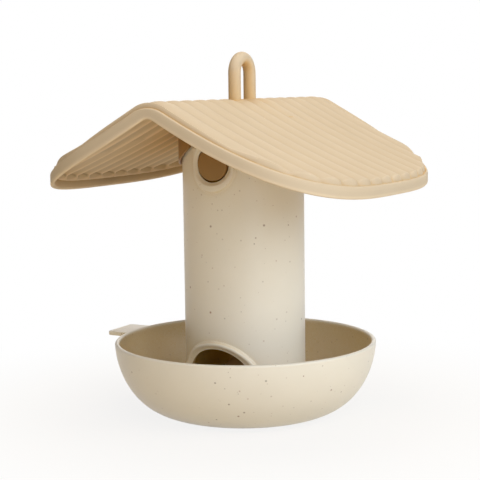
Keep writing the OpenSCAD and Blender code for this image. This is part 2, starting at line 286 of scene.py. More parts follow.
@dataclass(frozen=True)
class FleckedPlastic(MouldedPlastic):
    """Moulded plastic filled with plant fibre, which shows as flecks of two tones.

    Attributes:
        rust: The flecks' first hex colour.
        grey: Their second one.
        flecks: Their sizes.
        growth: The smallest and the largest fleck, as shares of their size's radius.
        core: The share of a fleck's radius that has its full strength.
    """

    rust: str = "#965c38"
    grey: str = "#6f6455"
    flecks: tuple[Flecks, ...] = ()
    growth: Point = (0.45, 1.25)
    core: float = 0.25

    def marks_and_painted_shade(self, tree: Tree, place: Socket, skin: Socket) -> Socket:
        """Returns the colour with its flecks and the painted warm shade in its hollows."""
        for size in self.flecks:
            skin = self.fleck_layer(tree, place, skin, size)
        return super().marks_and_painted_shade(tree, place, skin)

    def fleck_layer(self, tree: Tree, place: Socket, under: Socket, size: Flecks) -> Socket:
        """Lays flecks of one size over a colour.

        A cell's random colour gives its fleck's chance, size and tone.
        """
        cells = add_node(tree, "ShaderNodeTexVoronoi", {"Vector": place, "Scale": 1.0 / (size.cell * MM)})
        chance = add_node(tree, "ShaderNodeSeparateColor", {0: cells.outputs["Color"]}).outputs
        reach = ranged(tree, chance["Green"], FULL, self.growth)
        away = reckoned(tree, "DIVIDE", cells.outputs["Distance"], reach)
        edge = size.radius / size.cell
        spot = ranged(tree, away, (edge, edge * self.core), (0.0, size.strength))
        present = reckoned(tree, "GREATER_THAN", chance["Red"], 1.0 - size.share)
        cover = reckoned(tree, "MULTIPLY", spot, present)
        tone = mixed(tree, chance["Blue"], linear(self.rust), linear(self.grey))
        return mixed(tree, cover, under, tone)


@dataclass(frozen=True)
class BendShadedPlastic(MouldedPlastic):
    """Moulded plastic with a painted highlight on its edges and painted shade in its grooves, both much
    stronger on faces that look down.

    Attributes:
        painted_bend_shade: How strongly the painted shade and highlight on bends show on faces that look down
            and on those that look up.
        toning: The darkest and the palest that the painted shade and highlight may make the colour.
        level_band: How far a face's normal may dip or rise while it turns from one to the other.
        bend_reach: The pointiness from flat to a full bend.
    """

    # Painted shade and highlight on bends: strong on faces that look down, faint on those that look up
    painted_bend_shade: Point = (1.6, 0.26)
    toning: Point = (0.55, 1.2)
    level_band: float = 0.15
    bend_reach: float = 0.12

    def marks_and_painted_shade(self, tree: Tree, place: Socket, skin: Socket) -> Socket:
        """Returns the colour with a painted highlight on its edges, painted shade in its grooves and painted
        warm shade in its hollows.
        """
        # Painted shade and highlight: pointiness darkens grooves and lightens edges, more on faces that look
        # down
        face = add_node(tree, "ShaderNodeNewGeometry").outputs
        facing = add_node(tree, "ShaderNodeSeparateXYZ", {0: face["Normal"]}).outputs["Z"]
        painted_bend_shade = ranged(tree, facing, (-self.level_band, self.level_band), self.painted_bend_shade)
        bends = (FLAT_POINTINESS - self.bend_reach, FLAT_POINTINESS + self.bend_reach)
        bend = ranged(tree, face["Pointiness"], bends, (-1.0, 1.0))
        tone = reckoned(tree, "MULTIPLY_ADD", painted_bend_shade, bend, 1.0)
        darkest, palest = self.toning
        held = add_node(tree, "ShaderNodeClamp", {"Value": tone, "Min": darkest, "Max": palest})
        bend_shaded = add_node(tree, "ShaderNodeVectorMath", {0: skin, 3: held.outputs[0]}, operation="SCALE")
        return super().marks_and_painted_shade(tree, place, bend_shaded.outputs[0])


@dataclass(frozen=True)
class TurnedSteel(Finish):
    """Cold-headed stainless steel: a bright metal with faint handling marks."""

    def surface(self, _tree: Tree, _place: Socket) -> dict[str, Any]:
        """Returns that the surface is metal all over."""
        return {"Metallic": 1.0}


# Bioplastic: satin, cream, with fine rust and grey flecks of plant fibre, and painted warm shade in its
# hollows
CREAM = FleckedPlastic(
    name="flecked_cream_bioplastic",
    slot=Slot.CREAM,
    colour="#ece5d7",
    second_colour="#e6dfcf",
    roughness=0.38,
    drift=(-0.04, 0.06),
    patch_mm=26.0,
    detail=3.0,
    specular=0.5,
    grain_mm=0.9,
    grain_depth_mm=0.012,
    # Painted shade: the darker, warmer colour that closed-in places multiply the cream by
    hollow_shade="#dcb83a",
    hollow_reach_mm=90.0,
    alone=True,
    flecks=(
        Flecks(cell=6.6, radius=0.85, share=0.45, strength=0.8),
        Flecks(cell=3.9, radius=0.62, share=0.5, strength=0.4),
    ),
)

# What both polypropylenes share, the painted warm shade in their hollows among it
POLYPROPYLENE: dict[str, Any] = {
    "drift": (-0.05, 0.05),
    "patch_mm": 30.0,
    "detail": 4.0,
    "grain_mm": 0.7,
    "grain_depth_mm": 0.02,
    # Painted shade: the warmer colour that closed-in places multiply the polypropylenes by
    "hollow_shade": "#ffe9c0",
    "hollow_reach_mm": 60.0,
    "alone": False,
}

# Polypropylene: matte and sand-coloured, with painted shade in its grooves and a painted highlight on its
# edges
SAND = BendShadedPlastic(
    name="sand_polypropylene",
    slot=Slot.SAND,
    colour="#cebda4",
    second_colour="#c9b79d",
    roughness=0.62,
    specular=0.15,
    **POLYPROPYLENE,
)

# Polypropylene: smoother and a darker tan
TAN = MouldedPlastic(
    name="tan_polypropylene",
    slot=Slot.TAN,
    colour="#9d7f52",
    second_colour="#94774b",
    roughness=0.45,
    specular=0.25,
    **POLYPROPYLENE,
)

# Stainless steel of the screws and washers
STEEL = TurnedSteel(
    name="stainless_screw_steel",
    slot=Slot.STEEL,
    colour="#c9c7c2",
    second_colour="#a9a6a0",
    roughness=0.3,
    drift=(-0.08, 0.12),
    patch_mm=1.6,
    detail=5.0,
)


# Meshes

MERGE_MM = 0.004
CREASE_DEGREES = 38.0


def only(kind: type, items: Sequence[Any]) -> list[Any]:
    """Returns what is of one kind, edges or vertices, in an operator's geometry."""
    return [item for item in items if isinstance(item, kind)]


def turned(degrees: float) -> Matrix:
    """Returns a turn round the Z axis."""
    return Matrix.Rotation(math.radians(degrees), 4, "Z")


def mapped_grid(bm: Mesh, cells: tuple[int, int], place: Callable[[float, float], Sequence[float]]) -> None:
    """Adds a grid and moves each of its vertices to its place.

    Args:
        bm: The mesh, in millimetres.
        cells: Cells along u and along v.
        place: Gives a point for u and v, which both run from -1 to 1.
    """
    made = bmesh.ops.create_grid(bm, x_segments=cells[0], y_segments=cells[1], size=1.0)
    for vert in made["verts"]:
        vert.co = Vector(place(vert.co.x, vert.co.y))


def spun(bm: Mesh, profile: Sequence[Point], steps: int, closed: bool = False) -> None:
    """Spins a profile of radius and height round the Z axis.

    Args:
        bm: The mesh, in millimetres.
        profile: Points of radius and height.
        steps: Steps of the full turn.
        closed: Whether the profile's last point joins its first.
    """
    verts = [bm.verts.new((radius, 0.0, height)) for radius, height in profile]
    pairs = list(zip(verts, verts[1:])) + ([(verts[-1], verts[0])] if closed else [])
    edges = [bm.edges.new(pair) for pair in pairs]
    bmesh.ops.spin(
        bm,
        geom=verts + edges,
        cent=(0.0, 0.0, 0.0),
        axis=(0.0, 0.0, 1.0),
        angle=math.tau,
        steps=steps,
        use_merge=True,
    )


def arc(centre: Point, radius: float, start: float, end: float, count: int) -> list[Point]:
    """Returns points along an arc.

    Args:
        centre: The arc's centre.
        radius: Its radius.
        start: Its first angle, in degrees.
        end: Its last angle, in degrees.
        count: How many points it has.
    """
    turns = [math.radians(start + (end - start) * at / (count - 1)) for at in range(count)]
    return [(centre[0] + radius * math.cos(turn), centre[1] + radius * math.sin(turn)) for turn in turns]


def rounded_ring(inner: float, outer: float, low: float, high: float, radius: float) -> list[Point]:
    """Returns the closed section of a ring with rounded edges, anticlockwise from its inner low corner."""
    corners = [(inner, low, 180.0), (outer, low, 270.0), (outer, high, 0.0), (inner, high, 90.0)]
    points: list[Point] = []
    for x, z, start in corners:
        centre = (x + radius * (1 if x == inner else -1), z + radius * (1 if z == low else -1))
        points += arc(centre, radius, start, start + 90.0, 4)
    return points


def rectangle(low: Point, high: Point) -> list[Point]:
    """Returns the corners of a rectangle, all the way round from a first one, with its opposite."""
    return [low, (high[0], low[1]), high, (low[0], high[1])]


def circle_edges(bm: Mesh, middle: Place, radius: float, segments: int) -> list[Edge]:
    """Adds a level circle and returns its edges."""
    made = bmesh.ops.create_circle(bm, segments=segments, radius=radius, matrix=Matrix.Translation(middle))
    return list(dict.fromkeys(edge for vert in made["verts"] for edge in vert.link_edges))


def outlined(bm: Mesh, corners: Sequence[Point], height: float) -> list[Edge]:
    """Adds a level, closed outline and returns its edges."""
    verts = [bm.verts.new((x, y, height)) for x, y in corners]
    return [bm.edges.new(pair) for pair in zip(verts, verts[1:] + verts[:1])]


def extruded(bm: Mesh, edges: Sequence[Edge]) -> tuple[list[Edge], list[Vert]]:
    """Extrudes edges in place and returns the new edges and vertices."""
    grown = bmesh.ops.extrude_edge_only(bm, edges=edges)["geom"]
    return only(Edge, grown), only(Vert, grown)


def thickened(part: Mesh, way: Place) -> None:
    """Makes a flat mesh a slab, whose far side is moved by a vector."""
    grown = bmesh.ops.extrude_face_region(part, geom=list(part.faces))["geom"]
    bmesh.ops.translate(part, vec=way, verts=only(Vert, grown))
    bmesh.ops.recalc_face_normals(part, faces=part.faces)


def rounded_off(bm: Mesh, items: Sequence[Any], width: float, segments: int, kind: str = "EDGES") -> None:
    """Rounds edges, or vertices where the kind is VERTICES."""
    bmesh.ops.bevel(
        bm,
        geom=items,
        offset=width,
        offset_type="OFFSET",
        segments=segments,
        profile=0.5,
        affect=kind,
        clamp_overlap=True,
        material=-1,
    )


def bevel_sharp(bm: Mesh, width: float, segments: int, angle: float = 35.0) -> None:
    """Rounds every edge that turns by more than an angle.

    Args:
        bm: The mesh, in millimetres.
        width: Width of the bevel.
        segments: Its segments.
        angle: The smallest turn that is rounded, in degrees.
    """
    sharp = [edge for edge in bm.edges if edge.is_manifold and edge.calc_face_angle() > math.radians(angle)]
    rounded_off(bm, sharp, width, segments)


def join(bm: Mesh, part: Mesh, place: Matrix | None = None) -> None:
    """Adds one mesh to another, moved to its place, and frees it."""
    if place is not None:
        bmesh.ops.transform(part, matrix=place, verts=part.verts)
    carrier = bpy.data.meshes.new("carrier")
    part.to_mesh(carrier)
    part.free()
    bm.from_mesh(carrier)
    bpy.data.meshes.remove(carrier)


def copies(bm: Mesh, places: Sequence[Matrix]) -> Mesh:
    """Returns a mesh with one copy of bm at each place, and frees bm."""
    group = bmesh.new()
    for place in places:
        join(group, bm.copy(), place)
    bm.free()
    return group


def add_box(bm: Mesh, low: Place, high: Place, width: float) -> None:
    """Adds a box between its lowest and highest corner, with edges rounded over a width."""
    part = bmesh.new()
    size = Vector(high) - Vector(low)
    middle = (Vector(high) + Vector(low)) / 2.0
    bmesh.ops.create_cube(part, size=1.0, matrix=Matrix.Translation(middle) @ Matrix.Diagonal((*size, 1.0)))
    bevel_sharp(part, width, 3)
    join(bm, part)


def add_screw_post(bm: Mesh, middle: Point, radius: float, low: float, high: float) -> None:
    """Adds a hollow post that takes a screw.

    Args:
        bm: The mesh, in millimetres.
        middle: The post's place in plan.
        radius: Its outer radius.
        low: Its lower end.
        high: Its upper end.
    """
    post = bmesh.new()
    spun(post, rounded_ring(SCREW_BORE, radius, low, high, POST_EDGE), POST_STEPS, closed=True)
    join(bm, post, Matrix.Translation((*middle, 0.0)))


def add_object(name: str, data: Any) -> bpy.types.Object:
    """Adds an object with its data to the scene."""
    made = bpy.data.objects.new(name, data)
    bpy.context.scene.collection.objects.link(made)
    return made


def settle(bm: Mesh, name: str, finish: Finish, body: Body, replaces: Sequence[str] = ()) -> None:
    """Makes a finished piece of a mesh and lets it ride on its body.

    Args:
        bm: The mesh, in millimetres; it is freed.
        name: The piece's name.
        finish: Its surface finish, whose material it gets.
        body: The CAD body it rides on.
        replaces: The CAD nodes it stands for.
    """
    bmesh.ops.remove_doubles(bm, verts=bm.verts, dist=MERGE_MM)
    bmesh.ops.recalc_face_normals(bm, faces=bm.faces)
    bmesh.ops.scale(bm, vec=(MM, MM, MM), verts=bm.verts)
    mesh = bpy.data.meshes.new(name)
    bm.to_mesh(mesh)
    bm.free()
    mesh.shade_smooth()
    mesh.set_sharp_from_angle(angle=math.radians(CREASE_DEGREES))
    mesh.materials.append(finish.material())
    piece = add_object(name, mesh)
    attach(piece, body.value)
    if replaces:
        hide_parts(*replaces)
    LOG.info("%s: %d faces on %s", name, len(mesh.polygons), body.value)


# Places that several pieces share, in millimetres

SIDES = (-1.0, 1.0)
SCREW_BORE = 1.6
POST_RADIUS = 3.5
POST_EDGE = 0.3
POST_STEPS = 32
FOOT_SCREWS = arc((0.0, 0.0), 27.5, 0.0, 240.0, 3)
ROOF_SCREWS = [(x, y) for x in (-24.0, 24.0) for y in (-20.0, 20.0)]
TONGUE_SCREW_Y = 27.0
PLATE_Z = 182.0
SLAB_Z = 196.5
BUTTON_Z = 167.9
LEG_Y = 9.8


# The bowl


@dataclass
class FeedingBowl:
    """The round bowl with its standing ring, the tube's socket and the tab at the rim."""

    rim_radius: float = 87.0
    height: float = 49.2
    base_radius: float = 36.1
    spread: float = 0.75
    rise: float = 1.11
    wall: float = 3.0
    floor_z: float = 4.0
    recess_radius: float = 31.1
    recess_z: float = 1.0
    ring_edge: float = 0.4
    socket: Place = (40.3, 42.3, 7.0)
    socket_root: float = 0.6
    socket_edge: float = 0.5
    socket_margin: float = 4.0
    head_radius: float = 3.1
    head_z: float = 2.41
    shank_radius: float = 1.7
    tab_root: float = 84.6
    tab_reach: float = 100.4
    tab_width: float = 30.0
    tab_top: float = 49.1
    tab_thickness: float = 2.8
    tab_corner: float = 2.5
    tab_edge: float = 0.55
    tab_turn: float = 182.0
    rows: int = 60
    hole_steps: int = 36
    steps: int = 192

    def outside(self, share: float) -> Vector:
        """Returns the outer skin's radius and height, a share of the way from the base to the rim."""
        turn = math.radians(90.0 * max(0.0, share))
        radius = self.base_radius + (self.rim_radius - self.base_radius) * math.sin(turn) ** self.spread
        return Vector((radius, self.height * (1.0 - max(0.0, math.cos(turn)) ** self.rise)))

    def inside(self, share: float) -> Vector:
        """Returns the inner skin, one wall square inside the outer one."""
        near = 0.004
        ahead = (self.outside(share + near) - self.outside(share - near)).normalized()
        return self.outside(share) + Vector((-ahead.y, ahead.x)) * self.wall

    def profile(self) -> list[Point]:
        """Returns the bowl's section from the recess under it, over the rim, to the middle of its floor."""
        lip = self.wall / 2.0
        below_lip = self.height - lip - 0.2
        outer = [self.outside(at / self.rows) for at in range(self.rows)]
        inner = [self.inside(at / self.rows) for at in range(self.rows - 1, 0, -1)]
        points = [(self.recess_radius, self.recess_z)]
        points += arc((self.recess_radius + self.ring_edge, self.ring_edge), self.ring_edge, 180.0, 270.0, 4)
        points += [tuple(point) for point in outer if point.y < below_lip]
        points += arc((self.rim_radius - lip, self.height - lip), lip, 0.0, 180.0, 13)
        points += [tuple(point) for point in inner if self.floor_z + 0.05 < point.y < below_lip]
        floor = (self.socket[1] + self.socket_margin, self.base_radius / 2.0, 0.0)
        return points + [(radius, self.floor_z) for radius in floor]

    def underside(self, bm: Mesh) -> None:
        """Adds the recess's flat face with its counterbored screw holes."""
        loops = circle_edges(bm, (0.0, 0.0, self.recess_z), self.recess_radius, self.steps)
        holes = {
            (x, y): circle_edges(bm, (x, y, self.recess_z), self.head_radius, self.hole_steps)
            for x, y in (*FOOT_SCREWS, (0.0, 0.0))
        }
        loops += [edge for hole in holes.values() for edge in hole]
        bmesh.ops.triangle_fill(bm, use_beauty=True, edges=loops)
        counterbore = (
            (self.head_radius, self.head_z),
            (self.shank_radius, self.head_z),
            (self.shank_radius, self.floor_z - 0.1),
        )
        for (x, y), edges in holes.items():
            for radius, height in counterbore:
                edges, verts = extruded(bm, edges)
                for vert in verts:
                    way = Vector((vert.co.x - x, vert.co.y - y)).normalized() * radius
                    vert.co = Vector((x + way.x, y + way.y, height))
            bmesh.ops.contextual_create(bm, geom=edges)

    def tab(self) -> Mesh:
        """Returns the flat tab at the rim, bare on top, as if it lay along X."""
        part = bmesh.new()
        half = self.tab_width / 2.0
        corners = rectangle((self.tab_root, -half), (self.tab_reach, half))
        part.faces.new([part.verts.new((x, y, self.tab_top)) for x, y in corners])
        outer = [vert for vert in part.verts if vert.co.x > self.tab_root + 1.0]
        rounded_off(part, outer, self.tab_corner, 8, "VERTICES")
        thickened(part, (0.0, 0.0, -self.tab_thickness))
        level = [edge for edge in part.edges if abs(edge.verts[0].co.z - edge.verts[1].co.z) < 0.1]
        rounded_off(part, level, self.tab_edge, 4)
        return part

    def build(self) -> None:
        """Builds the bowl as one piece."""
        bm = bmesh.new()
        spun(bm, self.profile(), self.steps)
        self.underside(bm)
        inner, outer, top = self.socket
        section = rounded_ring(inner, outer, self.floor_z - self.socket_root, top, self.socket_edge)
        spun(bm, section, self.steps, closed=True)
        join(bm, self.tab(), turned(self.tab_turn))
        settle(bm, "bowl", CREAM, Body.SILO, ["feeding_bowl"])


# The tube


@dataclass
class Opening:
    """An opening in the tube's skin and the raised bead round it, seen along Y."""

    radius: float
    centre_z: float
    bead_height: float
    edge_depth: float
    edge_reach: float

    def rim(self, _turn: float) -> float:
        """Returns how far the opening's edge lies from its centre at a turn from the X axis, in radians."""
        return self.radius

    def bead(self, x: float, z: float, margin: float) -> float:
        """Returns the bead's share of its height at a point that lies a margin outside the opening."""
        raise NotImplementedError

    def height(self, x: float, z: float) -> float:
        """Returns how far the tube's skin stands out at a point."""
        turn = math.atan2(z - self.centre_z, x)
        margin = math.hypot(x, z - self.centre_z) - self.rim(turn)
        rounded = self.edge_depth * (1.0 - smooth(margin / self.edge_reach))
        return self.bead_height * self.bead(x, z, margin) - rounded


@dataclass
class Port(Opening):
    """The arched port at the tube's foot, which is flat at its sill."""

    radius: float = 24.4
    centre_z: float = 24.5
    bead_height: float = 1.8
    edge_depth: float = 0.35
    edge_reach: float = 0.45
    sill_z: float = 8.6
    squareness: float = 9.0
    bead_width: float = 5.6
    bead_fall: float = 2.0
    bead_gap: float = 0.5
    bead_rise: float = 2.5
    foot_z: float = 7.4
    foot_fade: float = 4.0

    def rim(self, turn: float) -> float:
        """Returns the edge's distance: a half circle over a rounded box."""
        if math.sin(turn) >= 0.0:
            return self.radius
        across = abs(math.cos(turn)) / self.radius
        down = abs(math.sin(turn)) / (self.centre_z - self.sill_z)
        return (across**self.squareness + down**self.squareness) ** (-1.0 / self.squareness)

    def bead(self, x: float, z: float, margin: float) -> float:
        """Returns the bead's share, which fades away towards the tube's foot."""
        outer = smooth((self.bead_width - margin) / self.bead_fall)
        inner = smooth((margin - self.bead_gap) / self.bead_rise)
        return outer * inner * smooth((z - self.foot_z) / self.foot_fade)


@dataclass
class ButtonHole(Opening):
    """The round hole of a release button, in a U-shaped surround that is flat on top."""

    radius: float = 11.5
    centre_z: float = BUTTON_Z
    bead_height: float = 1.8
    edge_depth: float = 0.3
    edge_reach: float = 0.4
    surround_radius: float = 15.4
    surround_z: float = 164.8
    surround_top: float = 179.4
    bead_spread: float = 0.5
    bead_fall: float = 2.3
    bead_gap: float = 0.1
    bead_rise: float = 2.4
    lowest: float = 0.15

    def bead(self, x: float, z: float, margin: float) -> float:
        """Returns the surround's share, which dips round the hole."""
        inside = self.surround_radius - math.hypot(x, min(0.0, z - self.surround_z))
        outer = smooth((min(inside, self.surround_top - z) + self.bead_spread) / self.bead_fall)
        inner = smooth((margin - self.bead_gap) / self.bead_rise)
        return outer * (self.lowest + (1.0 - self.lowest) * inner)


@dataclass
class SiloTube:
    """The seed tube: a thin wall with two ports, two button holes and a flange inside its foot."""

    radius: float = 40.0
    wall: float = 2.5
    foot_z: float = 4.0
    waist_z: float = 100.0
    half_turn: float = 60.0
    flange: Place = (23.4, 37.7, 6.5)
    flange_edge: float = 0.4
    flange_steps: int = 128
    boss_top: float = 9.4
    boss_edge: float = 0.5
    across_cells: int = 44
    side_cells: int = 14
    close_rings: tuple[float, ...] = (0.0, 0.12, 0.25, 0.4, 0.6, 0.85)
    ring_pitch: Point = (1.1, 0.3)
    ring_room: float = 0.6
    outer_rings: int = 12

    @property
    def edge_x(self) -> float:
        """Returns how far from the middle a patch's upright edge lies, seen along Y."""
        return self.radius * math.sin(math.radians(self.half_turn))

    def on_skin(self, x: float, z: float, height: float) -> Vector:
        """Returns a point of the tube's front, from its place seen along Y and its height over the skin."""
        turn = math.asin(max(-1.0, min(1.0, x / self.radius)))
        reach = self.radius + height
        return Vector((reach * math.sin(turn), -reach * math.cos(turn), z))

    def border(self, low: float, high: float, up_cells: int) -> list[Point]:
        """Returns points round a patch's border, anticlockwise from its lower left corner."""
        shares = [2.0 * at / self.across_cells - 1.0 for at in range(self.across_cells)]
        along = [self.radius * math.sin(math.radians(self.half_turn * share)) for share in shares]
        rise = [low + (high - low) * at / up_cells for at in range(up_cells)]
        bottom = [(x, low) for x in along]
        right = [(self.edge_x, z) for z in rise]
        top = [(-x, high) for x in along]
        left = [(-self.edge_x, low + high - z) for z in rise]
        return bottom + right + top + left

    def patch(self, bm: Mesh, shape: Opening, span: Point, up_cells: int, even_rings: int) -> None:
        """Adds the part of the front skin round one opening.

        Args:
            bm: The mesh, in millimetres.
            shape: The opening and the bead round it.
            span: The patch's lower and upper edge.
            up_cells: Cells along each upright edge.
            even_rings: Rings at an even pitch, between the close ones at the opening and the outer ones.
        """
        border = self.border(*span, up_cells)
        start, pitch = self.ring_pitch
        margins = [*self.close_rings, *(start + pitch * at for at in range(even_rings))]
        last = len(margins) + self.outer_rings - 1

        def place(u: float, v: float) -> Vector:
            """Maps the grid to rings round the opening."""
            x, z = border[round((u + 1.0) / 2.0 * len(border)) % len(border)]
            ring = round((v + 1.0) / 2.0 * last)
            turn = math.atan2(z - shape.centre_z, x)
            rim = shape.rim(turn)
            room = math.hypot(x, z - shape.centre_z) - rim
            squeeze = min(1.0, self.ring_room * room / margins[-1])
            if ring < len(margins):
                reach = margins[ring] * squeeze
            else:
                share = (ring - len(margins) + 1) / self.outer_rings
                reach = margins[-1] * squeeze + (room - margins[-1] * squeeze) * share
            if ring < last:
                x = (rim + reach) * math.cos(turn)
                z = shape.centre_z + (rim + reach) * math.sin(turn)
            return self.on_skin(x, z, shape.height(x, z))

        mapped_grid(bm, (len(border), last), place)

    def front(self) -> Mesh:
        """Returns the front skin and the plain skin on its right, a half turn in all."""
        part = bmesh.new()
        self.patch(part, Port(), (self.foot_z, self.waist_z), 48, 17)
        self.patch(part, ButtonHole(), (self.waist_z, PLATE_Z), 44, 24)
        bmesh.ops.remove_doubles(part, verts=part.verts, dist=MERGE_MM)
        right = self.edge_x - 0.01
        border = [edge for edge in part.edges if edge.is_boundary]
        side = [edge for edge in border if min(vert.co.x for vert in edge.verts) > right]
        turn = turned((180.0 - 2.0 * self.half_turn) / self.side_cells)
        for _ in range(self.side_cells):
            side, verts = extruded(part, side)
            bmesh.ops.transform(part, matrix=turn, verts=verts)
        return part

    def build_wall(self) -> None:
        """Builds the wall out of two half turns."""
        skin = copies(self.front(), [turned(0.0), turned(180.0)])
        bmesh.ops.remove_doubles(skin, verts=skin.verts, dist=0.01)
        bmesh.ops.recalc_face_normals(skin, faces=skin.faces)
        sample = max(skin.faces, key=lambda face: face.calc_center_median().x)
        if sample.normal.x < 0.0:
            bmesh.ops.reverse_faces(skin, faces=skin.faces)
        bmesh.ops.solidify(skin, geom=skin.faces, thickness=self.wall)
        settle(skin, "tube_wall", CREAM, Body.SILO, ["silo_tube"])

    def build(self) -> None:
        """Builds the wall and the flange inside its foot."""
        self.build_wall()
        foot = bmesh.new()
        inner, outer, top = self.flange
        section = rounded_ring(inner, outer, self.foot_z, top, self.flange_edge)
        spun(foot, section, self.flange_steps, closed=True)
        edge = self.boss_edge
        crown = arc((POST_RADIUS - edge, self.boss_top - edge), edge, 0.0, 90.0, 4)
        for x, y in FOOT_SCREWS:
            boss = bmesh.new()
            spun(boss, [(0.0, top - edge), *crown], POST_STEPS)
            join(foot, boss, Matrix.Translation((x, y, 0.0)))
        settle(foot, "tube_foot_flange", CREAM, Body.SILO)


# The seed cone


@dataclass
class SeedCone:
    """The cone on the tube's foot that spreads the seed to both ports."""

    foot_radius: float = 37.2
    foot_z: float = 8.0
    flange_z: float = 6.5
    point_z: float = 42.0
    post_z: float = 4.0
    wall: float = 2.0
    ease: float = 0.3
    steps: int = 128

    def build(self) -> None:
        """Builds the cone and its post, whose edges are all eased by a few tenths."""
        bm = bmesh.new()
        slope = (self.point_z - self.foot_z) / (self.foot_radius - POST_RADIUS)
        upright = self.wall * math.sqrt(1.0 + slope * slope)
        inner = self.foot_radius - self.wall
        profile = [
            (0.0, self.point_z),
            (POST_RADIUS - 1.2, self.point_z),
            (POST_RADIUS - self.ease, self.point_z - 0.25),
            (POST_RADIUS + 0.6, self.point_z - 0.6 * slope - 0.1),
            (self.foot_radius - 1.2, self.foot_z + 1.2 * slope),
            (self.foot_radius - self.ease, self.foot_z + 0.25),
            (self.foot_radius, self.foot_z - 0.4),
            (self.foot_radius, self.flange_z + 0.2),
            (self.foot_radius - self.ease, self.flange_z),
            (inner + self.ease, self.flange_z),
            (inner, self.flange_z + self.ease),
            (inner, self.foot_z - upright + self.wall * slope),
            (POST_RADIUS, self.point_z - upright),
            (POST_RADIUS, self.post_z + self.ease),
            (POST_RADIUS - self.ease, self.post_z),
            (0.0, self.post_z),
        ]
        spun(bm, profile, self.steps)
        settle(bm, "cone", SAND, Body.SILO, ["seed_cone"])


# The roof


@dataclass(frozen=True)
class WingLine:
    """A line down both wings, seen along the ridge: round at the ridge and flatter towards the eaves."""

    ridge_z: float
    radius: float
    slope: float
    flatten: float

    def height(self, x: float) -> float:
        """Returns the line's height at a distance x from the ridge."""
        turn_x = self.radius * math.sin(math.radians(self.slope))
        near = min(abs(x), turn_x)
        far = max(abs(x) - turn_x, 0.0)
        rounding = self.radius - math.sqrt(self.radius**2 - near**2)
        return self.ridge_z - rounding - far * math.tan(math.radians(self.slope)) + self.flatten * far * far


CREST = WingLine(ridge_z=208.9, radius=21.5, slope=29.0, flatten=0.0009)
LIP_EDGE = WingLine(ridge_z=198.5, radius=7.0, slope=29.6, flatten=0.001)


